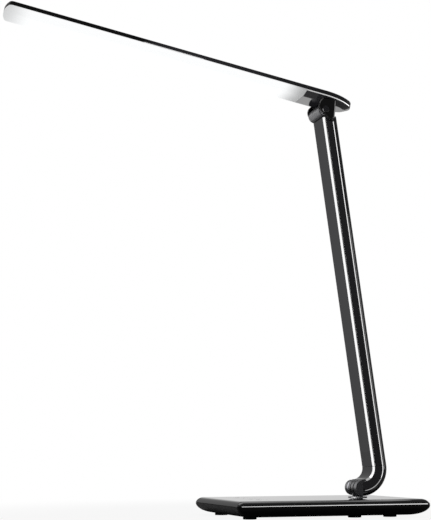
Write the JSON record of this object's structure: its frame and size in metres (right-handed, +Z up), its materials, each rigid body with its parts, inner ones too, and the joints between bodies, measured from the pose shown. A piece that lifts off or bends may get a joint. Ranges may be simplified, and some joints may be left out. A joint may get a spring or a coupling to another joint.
{
  "type": "led desk lamp",
  "caption": "Folding desk lamp: flat weighted base with touch strip, turning neck, leaning arm with curved foot, and a long slim tilting light bar.",
  "frame": {"origin": "middle of the base on the table plane that the rubber feet stand on", "axes": "+Z up, -Y to the front where the head reaches out, +X across the lamp"},
  "size_m": [0.14, 0.3879, 0.4699],
  "materials": {
    "black_gloss": "piano black, polished",
    "black_satin": "fine satin black",
    "hinge_metal": "satin dark grey anodised",
    "steel": "plain steel",
    "rubber": "matt black",
    "milky": "milky satin light diffuser",
    "white": "matt white",
    "board": "green lacquered circuit board",
    "light_board": "white lacquered metal board",
    "chip": "yellow phosphor",
    "bearing": "dark acetal"
  },
  "bodies": {
    "base": {"base_bottom_cover": "black_gloss", "base_top_cover": "black_gloss", "ballast_plate": "steel", "rubber_feet": "rubber", "base_screws": "steel", "touch_panel": "black_gloss", "control_board": "board", "power_inlet": "black_satin", "swivel_bush": "bearing"},
    "neck": {"swivel_neck": "hinge_metal", "lower_hinge_pin": "steel", "lower_friction_washers": "bearing", "swivel_spring_washer": "steel", "swivel_nut": "steel"},
    "arm": {"arm_elbow": "black_gloss", "hinge_collar_right": "hinge_metal", "hinge_collar_left": "hinge_metal", "arm_rear_shell": "black_gloss", "arm_front_cover": "black_gloss", "arm_spine": "steel", "arm_cable": "rubber", "upper_barrel": "hinge_metal"},
    "head": {"head_bracket": "black_gloss", "upper_hinge_pin": "steel", "upper_friction_washers": "bearing", "upper_pin_caps": "black_gloss", "head_top_cover": "black_gloss", "head_rear_cover": "black_gloss", "diffuser": "milky", "led_board": "light_board", "light_chips": "chip", "reflector_frame": "white", "bracket_screws": "steel"}
  },
  "joints": [
    {"name": "base_swivel", "type": "hinge", "parent": "base", "child": "neck", "pos_m": [0, 0.0494, 0.0164], "axis": [0, 0, 1], "range_deg": [-90, 90]},
    {"name": "arm_fold", "type": "hinge", "parent": "neck", "child": "arm", "pos_m": [0, 0.0494, 0.0254], "axis": [1, 0, 0], "range_deg": [-15, 82]},
    {"name": "head_tilt", "type": "hinge", "parent": "arm", "child": "head", "pos_m": [0, 0.01733, 0.39103], "axis": [1, 0, 0], "range_deg": [-15, 108]}
  ]
}
